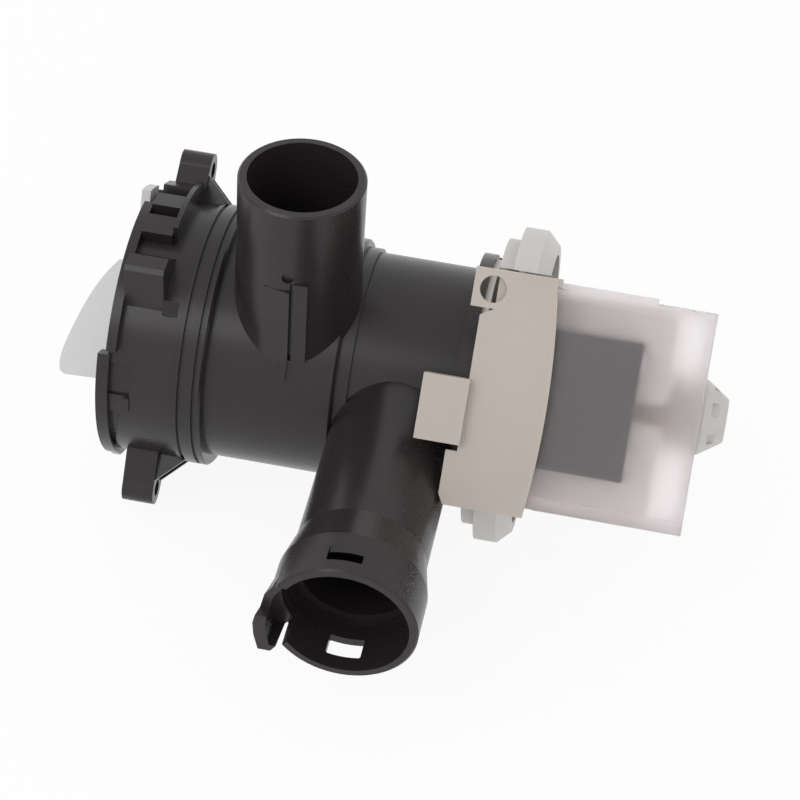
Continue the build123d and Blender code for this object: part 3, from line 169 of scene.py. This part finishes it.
def seen_directly(tree, path):
    """Value that is one for camera, glossy and transmission rays and zero for the rest."""
    first = tree.nodes.new("ShaderNodeMath")
    first.operation = "MAXIMUM"
    both = tree.nodes.new("ShaderNodeMath")
    both.operation = "MAXIMUM"
    tree.links.new(path.outputs["Is Camera Ray"], first.inputs[0])
    tree.links.new(path.outputs["Is Glossy Ray"], first.inputs[1])
    tree.links.new(first.outputs[0], both.inputs[0])
    tree.links.new(path.outputs["Is Transmission Ray"], both.inputs[1])
    return both.outputs[0]


def add_world():
    """White to camera, glossy and transmission rays, with a fill that falls towards the back."""
    world = bpy.data.worlds.new("studio")
    world.use_nodes = True
    tree = world.node_tree
    background = tree.nodes["Background"]
    background.inputs["Color"].default_value = (1, 1, 1, 1)
    direction = tree.nodes.new("ShaderNodeTexCoord")
    split = tree.nodes.new("ShaderNodeSeparateXYZ")
    level = tree.nodes.new("ShaderNodeMapRange")
    level.inputs["From Min"].default_value = -1.0
    level.inputs["From Max"].default_value = 1.0
    level.inputs["To Min"].default_value = FRONT_LEVEL
    level.inputs["To Max"].default_value = BACK_LEVEL
    path = tree.nodes.new("ShaderNodeLightPath")
    seen = seen_directly(tree, path)
    pick = tree.nodes.new("ShaderNodeMix")
    pick.data_type = "FLOAT"
    pick.inputs["B"].default_value = SEEN_LEVEL
    tree.links.new(direction.outputs["Generated"], split.inputs[0])
    tree.links.new(split.outputs["Y"], level.inputs["Value"])
    tree.links.new(seen, pick.inputs["Factor"])
    tree.links.new(level.outputs["Result"], pick.inputs["A"])
    tree.links.new(pick.outputs["Result"], background.inputs["Strength"])
    bpy.context.scene.world = world


def add_key_light():
    """One large soft lamp, up and to the left of the camera."""
    data = bpy.data.lights.new("key_light", "AREA")
    data.shape = "DISK"
    data.size = KEY_SIZE
    data.energy = KEY_WATTS
    lamp = bpy.data.objects.new("key_light", data)
    aim = (VIEW_TARGET - KEY_PLACE).to_track_quat("-Z", "Y")
    lamp.matrix_world = Matrix.Translation(KEY_PLACE) @ aim.to_matrix().to_4x4()
    bpy.context.scene.collection.objects.link(lamp)


def add_floor():
    """Pale floor, near white to camera, glossy and transmission rays but for a soft shadow."""
    mesh = bpy.data.meshes.new("floor")
    low = cad_box[0][2]
    side = FLOOR_HALF_SIDE
    corners = [(-side, -side, low), (side, -side, low), (side, side, low), (-side, side, low)]
    mesh.from_pydata(corners, [], [(0, 1, 2, 3)])
    floor = bpy.data.objects.new("floor", mesh)
    bpy.context.scene.collection.objects.link(floor)
    material = bpy.data.materials.new("floor_white")
    material.use_nodes = True
    tree = material.node_tree
    tree.nodes.remove(tree.nodes["Principled BSDF"])
    matte = tree.nodes.new("ShaderNodeBsdfDiffuse")
    matte.inputs["Color"].default_value = (FLOOR_WHITE, FLOOR_WHITE, FLOOR_WHITE, 1)
    glow = tree.nodes.new("ShaderNodeEmission")
    path = tree.nodes.new("ShaderNodeLightPath")
    share = tree.nodes.new("ShaderNodeMath")
    share.operation = "MULTIPLY"
    share.inputs[1].default_value = FLOOR_GLOW
    mix = tree.nodes.new("ShaderNodeMixShader")
    tree.links.new(seen_directly(tree, path), share.inputs[0])
    tree.links.new(share.outputs[0], mix.inputs["Fac"])
    tree.links.new(matte.outputs[0], mix.inputs[1])
    tree.links.new(glow.outputs[0], mix.inputs[2])
    tree.links.new(mix.outputs[0], tree.nodes["Material Output"].inputs["Surface"])
    mesh.materials.append(material)


def finish_group():
    """Moulded or rolled finish: two colours in a slow mottle, fine grain and roughness."""
    tree = bpy.data.node_groups.new("moulded_finish", "ShaderNodeTree")
    for label, kind in (
        ("Colour", "NodeSocketColor"),
        ("Tint", "NodeSocketColor"),
        ("Mottle Scale", "NodeSocketFloat"),
        ("Grain Scale", "NodeSocketFloat"),
        ("Roughness", "NodeSocketFloat"),
        ("Roughness Spread", "NodeSocketFloat"),
    ):
        tree.interface.new_socket(label, in_out="INPUT", socket_type=kind)
    for label, kind in (
        ("Colour", "NodeSocketColor"),
        ("Roughness", "NodeSocketFloat"),
        ("Height", "NodeSocketFloat"),
    ):
        tree.interface.new_socket(label, in_out="OUTPUT", socket_type=kind)
    given = tree.nodes.new("NodeGroupInput")
    result = tree.nodes.new("NodeGroupOutput")
    place = tree.nodes.new("ShaderNodeTexCoord")
    mottle = tree.nodes.new("ShaderNodeTexNoise")
    mottle.inputs["Detail"].default_value = MOTTLE_DETAIL
    grain = tree.nodes.new("ShaderNodeTexNoise")
    grain.inputs["Detail"].default_value = GRAIN_DETAIL
    blend = tree.nodes.new("ShaderNodeMix")
    blend.data_type = "RGBA"
    shift = tree.nodes.new("ShaderNodeMath")
    shift.operation = "SUBTRACT"
    shift.inputs[1].default_value = NOISE_MIDDLE
    spread = tree.nodes.new("ShaderNodeMath")
    spread.operation = "MULTIPLY_ADD"
    link = tree.links.new
    link(place.outputs["Object"], mottle.inputs["Vector"])
    link(place.outputs["Object"], grain.inputs["Vector"])
    link(given.outputs["Mottle Scale"], mottle.inputs["Scale"])
    link(given.outputs["Grain Scale"], grain.inputs["Scale"])
    link(mottle.outputs["Fac"], blend.inputs["Factor"])
    link(given.outputs["Colour"], blend.inputs["A"])
    link(given.outputs["Tint"], blend.inputs["B"])
    link(grain.outputs["Fac"], shift.inputs[0])
    link(shift.outputs[0], spread.inputs[0])
    link(given.outputs["Roughness Spread"], spread.inputs[1])
    link(given.outputs["Roughness"], spread.inputs[2])
    link(blend.outputs["Result"], result.inputs["Colour"])
    link(spread.outputs[0], result.inputs["Roughness"])
    link(grain.outputs["Fac"], result.inputs["Height"])
    return tree


def drawn_group():
    """Fine parallel marks, longest along the axes that are given the least stretch."""
    tree = bpy.data.node_groups.new("drawn_marks", "ShaderNodeTree")
    tree.interface.new_socket("Line Scale", in_out="INPUT", socket_type="NodeSocketFloat")
    tree.interface.new_socket("Stretch", in_out="INPUT", socket_type="NodeSocketVector")
    tree.interface.new_socket("Height", in_out="OUTPUT", socket_type="NodeSocketFloat")
    given = tree.nodes.new("NodeGroupInput")
    result = tree.nodes.new("NodeGroupOutput")
    place = tree.nodes.new("ShaderNodeTexCoord")
    scaled = tree.nodes.new("ShaderNodeVectorMath")
    scaled.operation = "MULTIPLY"
    marks = tree.nodes.new("ShaderNodeTexNoise")
    marks.inputs["Detail"].default_value = MARKS_DETAIL
    tree.links.new(place.outputs["Object"], scaled.inputs[0])
    tree.links.new(given.outputs["Stretch"], scaled.inputs[1])
    tree.links.new(scaled.outputs[0], marks.inputs["Vector"])
    tree.links.new(given.outputs["Line Scale"], marks.inputs["Scale"])
    tree.links.new(marks.outputs["Fac"], result.inputs["Height"])
    return tree


moulded_finish = finish_group()
drawn_marks = drawn_group()


def finished(name, colour, tint, roughness, spread=0.08, mottle=70.0, grain=2200.0, depth=0.012,
             metallic=0.0, drawn=None):
    """Material with the moulded finish. Its bump, depth in millimetres, comes from the grain, or
    from drawn marks where their line scale and stretch are given."""
    material = bpy.data.materials.new(name)
    material.use_nodes = True
    tree = material.node_tree
    shader = tree.nodes["Principled BSDF"]
    shader.inputs["Metallic"].default_value = metallic
    finish = tree.nodes.new("ShaderNodeGroup")
    finish.node_tree = moulded_finish
    finish.inputs["Colour"].default_value = (*colour, 1)
    finish.inputs["Tint"].default_value = (*tint, 1)
    finish.inputs["Mottle Scale"].default_value = mottle
    finish.inputs["Grain Scale"].default_value = grain
    finish.inputs["Roughness"].default_value = roughness
    finish.inputs["Roughness Spread"].default_value = spread
    bump = tree.nodes.new("ShaderNodeBump")
    bump.inputs["Strength"].default_value = BUMP_STRENGTH
    bump.inputs["Distance"].default_value = depth * MM
    tree.links.new(finish.outputs["Colour"], shader.inputs["Base Color"])
    tree.links.new(finish.outputs["Roughness"], shader.inputs["Roughness"])
    if drawn is None:
        tree.links.new(finish.outputs["Height"], bump.inputs["Height"])
    else:
        marks = tree.nodes.new("ShaderNodeGroup")
        marks.node_tree = drawn_marks
        marks.inputs["Line Scale"].default_value = drawn[0]
        marks.inputs["Stretch"].default_value = drawn[1]
        tree.links.new(marks.outputs["Height"], bump.inputs["Height"])
    tree.links.new(bump.outputs["Normal"], shader.inputs["Normal"])
    return material


def waxed(material, weight, reach):
    """Lets light into a plastic, by the weight and reach given."""
    shader = material.node_tree.nodes["Principled BSDF"]
    shader.inputs["Subsurface Weight"].default_value = weight
    shader.inputs["Subsurface Radius"].default_value = reach
    shader.inputs["Subsurface Scale"].default_value = 1.0
    return material


def black_moulding():
    """Charcoal plastic of the housing, satin with a faint grain."""
    material = finished("black_moulding", (0.020, 0.0165, 0.0170), (0.027, 0.0222, 0.0230), 0.27,
                        spread=0.10, mottle=38.0, grain=1500.0, depth=0.012)
    shader = material.node_tree.nodes["Principled BSDF"]
    shader.inputs["Specular IOR Level"].default_value = HOUSING_SPECULAR
    return material


def ivory_moulding():
    """Ivory plastic of the motor flange, slightly waxy."""
    material = finished("ivory_moulding", (0.62, 0.600, 0.580), (0.56, 0.540, 0.520), 0.40,
                        mottle=55.0)
    return waxed(material, FLANGE_WAX, FLANGE_REACH)


def plate_moulding():
    """Warmer ivory of the stator frame, with a faint long mottle."""
    material = finished("plate_moulding", (0.485, 0.430, 0.385), (0.430, 0.383, 0.343), 0.38,
                        mottle=45.0)
    return waxed(material, PLATE_WAX, PLATE_REACH)


def milky_cover():
    """Milky translucent cover, which blurs what lies behind it."""
    material = finished("milky_cover", (0.95, 0.915, 0.925), (0.93, 0.89, 0.90), 0.48,
                        spread=0.06, mottle=30.0, grain=1800.0, depth=0.006)
    shader = material.node_tree.nodes["Principled BSDF"]
    shader.inputs["Transmission Weight"].default_value = COVER_TRANSMISSION
    shader.inputs["IOR"].default_value = COVER_IOR
    return material


MATERIALS = {
    "housing": black_moulding(),
    "cap": finished("cap_grey", (0.63, 0.63, 0.627), (0.57, 0.57, 0.567), 0.42, mottle=50.0),
    "strainer": finished("strainer_grey", (0.60, 0.60, 0.59), (0.52, 0.52, 0.51), 0.45, mottle=90.0),
    "rubber": finished("seal_rubber", (0.022, 0.022, 0.023), (0.035, 0.034, 0.033), 0.72,
                       mottle=200.0, grain=3000.0, depth=0.03),
    "motor_plastic": ivory_moulding(),
    "plate_plastic": finished("insert_plastic", (0.50, 0.50, 0.48), (0.43, 0.43, 0.41), 0.45),
    "bearing": finished("bearing_ceramic", (0.74, 0.73, 0.69), (0.68, 0.67, 0.63), 0.22, depth=0.004),
    "steel": finished("bright_steel", (0.60, 0.60, 0.61), (0.50, 0.50, 0.52), 0.28, metallic=1.0,
                      drawn=(420.0, (0.12, 4.0, 4.0))),
    "magnet": finished("ground_ferrite", (0.055, 0.055, 0.06), (0.075, 0.075, 0.08), 0.48,
                       drawn=(900.0, (4.0, 1.0, 1.0))),
    "impeller": finished("impeller_black", (0.045, 0.044, 0.044), (0.06, 0.058, 0.057), 0.45),
    "laminations": finished("stamped_sheets", (0.030, 0.027, 0.026), (0.060, 0.054, 0.051), 0.5,
                            mottle=160.0, depth=0.004, metallic=0.35, drawn=(600.0, (6.0, 1.0, 1.0))),
    "bobbin": finished("bobbin_white", (0.78, 0.76, 0.73), (0.71, 0.69, 0.66), 0.45),
    "copper": finished("enamelled_copper", (0.56, 0.24, 0.11), (0.42, 0.16, 0.07), 0.3,
                       mottle=400.0, metallic=0.85, drawn=(500.0, (1.0, 5.0, 5.0))),
    "cover": milky_cover(),
}
frame_ivory = plate_moulding()


def paint_nodes():
    """Gives every piece of the frame its slot's material, and the stator frame its own."""
    for piece in frame["record"]["subparts"]:
        name = piece["node"]
        material = frame_ivory if name == "stator_frame" else MATERIALS[piece["material_slot"]]
        mesh = nodes[name].data
        mesh.materials.clear()
        mesh.materials.append(material)


def motor_point(along, across, out):
    """Point given along the pump axis, across the coils and out towards the cover."""
    return ALONG * along + ACROSS * across + OUT * out


def build_tree(name, sizes):
    """Empty geometry tree with its named inputs, and the group's input and output nodes."""
    tree = bpy.data.node_groups.new(name, "GeometryNodeTree")
    tree.interface.new_socket("Geometry", in_out="INPUT", socket_type="NodeSocketGeometry")
    for label, value in sizes.items():
        kind = "NodeSocketInt" if isinstance(value, int) else "NodeSocketFloat"
        tree.interface.new_socket(label, in_out="INPUT", socket_type=kind)
    tree.interface.new_socket("Geometry", in_out="OUTPUT", socket_type="NodeSocketGeometry")
    return tree, tree.nodes.new("NodeGroupInput"), tree.nodes.new("NodeGroupOutput")


def close_tree(tree, geometry, result, material):
    """Ends a tree: instances made real, then the material."""
    real = tree.nodes.new("GeometryNodeRealizeInstances")
    paint = tree.nodes.new("GeometryNodeSetMaterial")
    paint.inputs["Material"].default_value = material
    tree.links.new(geometry, real.inputs[0])
    tree.links.new(real.outputs[0], paint.inputs["Geometry"])
    tree.links.new(paint.outputs[0], result.inputs[0])


def made_by_tree(name, tree, mesh, sizes, replaced=()):
    """Runs the tree on the mesh, keeps the result as a plain piece and seats it on the pump."""
    draft = bpy.data.objects.new(name + "_draft", mesh)
    bpy.context.scene.collection.objects.link(draft)
    modifier = draft.modifiers.new("build", "NODES")
    modifier.node_group = tree
    for item in tree.interface.items_tree:
        if item.in_out == "INPUT" and item.name in sizes:
            modifier[item.identifier] = sizes[item.name]
    graph = bpy.context.evaluated_depsgraph_get()
    plain = bpy.data.meshes.new_from_object(draft.evaluated_get(graph))
    bpy.data.objects.remove(draft)
    plain.name = name
    piece = bpy.data.objects.new(name, plain)
    bpy.context.scene.collection.objects.link(piece)
    if replaced:
        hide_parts(*replaced)
    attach(piece, "pump")


def sheet_outline():
    """Outline of one stator sheet: two legs, the yoke, the pole gap and the rotor bore."""
    window = CORE_HALF_WIDTH - CORE_LEG_WIDTH
    gap = CORE_POLE_HALF_GAP
    low = -CORE_POLE_HALF_HEIGHT
    high = CORE_POLE_HALF_HEIGHT
    reach = sqrt(CORE_BORE_RADIUS ** 2 - gap ** 2)
    places = [(gap, low), (CORE_HALF_WIDTH, low), (CORE_HALF_WIDTH, CORE_YOKE_END)]
    places += [(-CORE_HALF_WIDTH, CORE_YOKE_END), (-CORE_HALF_WIDTH, low), (-gap, low)]
    arc = []
    for step in range(BORE_STEPS + 1):
        turn = pi * step / BORE_STEPS
        arc.append((CORE_BORE_RADIUS * sin(turn), -CORE_BORE_RADIUS * cos(turn)))
    arc = [point for point in arc if point[0] > gap]
    places.append((-gap, -reach))
    places += [(-across, out) for across, out in arc]
    places += [(-gap, reach), (-gap, high), (-window, high), (-window, CORE_YOKE_START)]
    places += [(window, CORE_YOKE_START), (window, high), (gap, high), (gap, reach)]
    places += [(across, out) for across, out in reversed(arc)]
    places.append((gap, -reach))
    return places


def add_laminations():
    """The stator core as its stack of stamped sheets."""
    low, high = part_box("stator_core")
    count = round((high[0] - low[0]) / SHEET_PITCH)
    sizes = {"Thickness": SHEET_THICKNESS, "Pitch": SHEET_PITCH, "Sheets": count}
    tree, given, result = build_tree("sheet_stack", sizes)
    link = tree.links.new
    depth = tree.nodes.new("ShaderNodeCombineXYZ")
    step = tree.nodes.new("ShaderNodeCombineXYZ")
    raised = tree.nodes.new("GeometryNodeExtrudeMesh")
    raised.inputs["Individual"].default_value = False
    raised.inputs["Offset Scale"].default_value = 1.0
    under = tree.nodes.new("GeometryNodeFlipFaces")
    both = tree.nodes.new("GeometryNodeJoinGeometry")
    closed = tree.nodes.new("GeometryNodeMergeByDistance")
    closed.inputs["Distance"].default_value = MERGE_DISTANCE
    row = tree.nodes.new("GeometryNodeMeshLine")
    stack = tree.nodes.new("GeometryNodeInstanceOnPoints")
    link(given.outputs["Thickness"], depth.inputs["X"])
    link(given.outputs["Pitch"], step.inputs["X"])
    link(given.outputs["Geometry"], raised.inputs["Mesh"])
    link(depth.outputs[0], raised.inputs["Offset"])
    link(given.outputs["Geometry"], under.inputs["Mesh"])
    link(raised.outputs["Mesh"], both.inputs[0])
    link(under.outputs[0], both.inputs[0])
    link(both.outputs[0], closed.inputs["Geometry"])
    link(given.outputs["Sheets"], row.inputs["Count"])
    link(step.outputs[0], row.inputs["Offset"])
    link(row.outputs[0], stack.inputs["Points"])
    link(closed.outputs[0], stack.inputs["Instance"])
    close_tree(tree, stack.outputs[0], result, MATERIALS["laminations"])
    mesh = bpy.data.meshes.new("stator_sheet")
    points = [motor_point(low[0], across, out) for across, out in sheet_outline()]
    mesh.from_pydata(points, [], [tuple(range(len(points)))])
    if mesh.polygons[0].normal.x < 0:
        mesh.flip_normals()
    made_by_tree("stator_sheets", tree, mesh, sizes, ["stator_core"])


def add_rivet_heads():
    """Domed rivet heads on both faces of the stack."""
    low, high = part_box("stator_core")
    sizes = {"Head Radius": RIVET_HEAD_RADIUS, "Head Height": RIVET_HEAD_HEIGHT}
    tree, given, result = build_tree("domed_rivets", sizes)
    link = tree.links.new
    dome = tree.nodes.new("GeometryNodeMeshUVSphere")
    dome.inputs["Segments"].default_value = DOME_SEGMENTS
    dome.inputs["Rings"].default_value = DOME_RINGS
    dome.inputs["Radius"].default_value = 1.0
    shape = tree.nodes.new("ShaderNodeCombineXYZ")
    heads = tree.nodes.new("GeometryNodeInstanceOnPoints")
    link(given.outputs["Head Height"], shape.inputs["X"])
    link(given.outputs["Head Radius"], shape.inputs["Y"])
    link(given.outputs["Head Radius"], shape.inputs["Z"])
    link(given.outputs["Geometry"], heads.inputs["Points"])
    link(dome.outputs["Mesh"], heads.inputs["Instance"])
    link(shape.outputs[0], heads.inputs["Scale"])
    close_tree(tree, heads.outputs[0], result, MATERIALS["steel"])
    mesh = bpy.data.meshes.new("rivet_places")
    points = [
        motor_point(along, across * MM, out * MM)
        for along in (low[0], high[0])
        for across, out in RIVET_PLACES
    ]
    mesh.from_pydata(points, [], [])
    made_by_tree("rivet_heads", tree, mesh, sizes, ["core_rivets"])


def wound_path(centre, half_length, half_width, low, high):
    """One unbroken path of wire round a coil with rounded corners, from its low to its high end."""
    ring = []
    for quarter, (x_side, y_side) in enumerate(((1, 1), (-1, 1), (-1, -1), (1, -1))):
        for step in range(CORNER_STEPS + 1):
            turn = pi / 2 * (quarter + step / CORNER_STEPS)
            ring.append((
                x_side * (half_length - WINDING_CORNER) + WINDING_CORNER * cos(turn),
                y_side * (half_width - WINDING_CORNER) + WINDING_CORNER * sin(turn),
            ))
    total = len(ring) * WIRE_TURNS
    points = []
    for step in range(total + 1):
        along, across = ring[step % len(ring)]
        out = low + (high - low) * step / total
        points.append(motor_point(centre[0] + along, centre[1] + across, out))
    return points


def motor_extent(node):
    """Lowest and highest along, across and out of a motor node, from its points."""
    places = [nodes[node].matrix_world @ vertex.co for vertex in nodes[node].data.vertices]
    rows = [(point.x, point.dot(ACROSS), point.dot(OUT)) for point in places]
    return [min(column) for column in zip(*rows)], [max(column) for column in zip(*rows)]


def add_wire_turns():
    """Enamelled turns lying round each winding, wound as one length of wire."""
    sizes = {"Wire Radius": WIRE_RADIUS}
    tree, given, result = build_tree("wire_on_path", sizes)
    link = tree.links.new
    path = tree.nodes.new("GeometryNodeMeshToCurve")
    section = tree.nodes.new("GeometryNodeCurvePrimitiveCircle")
    section.inputs["Resolution"].default_value = WIRE_SIDES
    wire = tree.nodes.new("GeometryNodeCurveToMesh")
    wire.inputs["Fill Caps"].default_value = True
    link(given.outputs["Geometry"], path.inputs["Mesh"])
    link(given.outputs["Wire Radius"], section.inputs["Radius"])
    link(path.outputs[0], wire.inputs["Curve"])
    link(section.outputs[0], wire.inputs["Profile Curve"])
    close_tree(tree, wire.outputs[0], result, MATERIALS["copper"])
    for place in ("upper", "lower"):
        low, high = motor_extent("coil_winding_" + place)
        centre = ((low[0] + high[0]) / 2, (low[1] + high[1]) / 2)
        points = wound_path(
            centre,
            (high[0] - low[0]) / 2 - WIRE_SUNK,
            (high[1] - low[1]) / 2 - WIRE_SUNK,
            low[2] + WIRE_RADIUS,
            high[2] - WIRE_RADIUS,
        )
        mesh = bpy.data.meshes.new("wire_path_" + place)
        mesh.from_pydata(points, [(i, i + 1) for i in range(len(points) - 1)], [])
        made_by_tree("coil_turns_" + place, tree, mesh, sizes)


add_camera()
add_world()
add_key_light()
add_floor()
bpy.context.scene.view_settings.view_transform = "Standard"
paint_nodes()
add_laminations()
add_rivet_heads()
add_wire_turns()
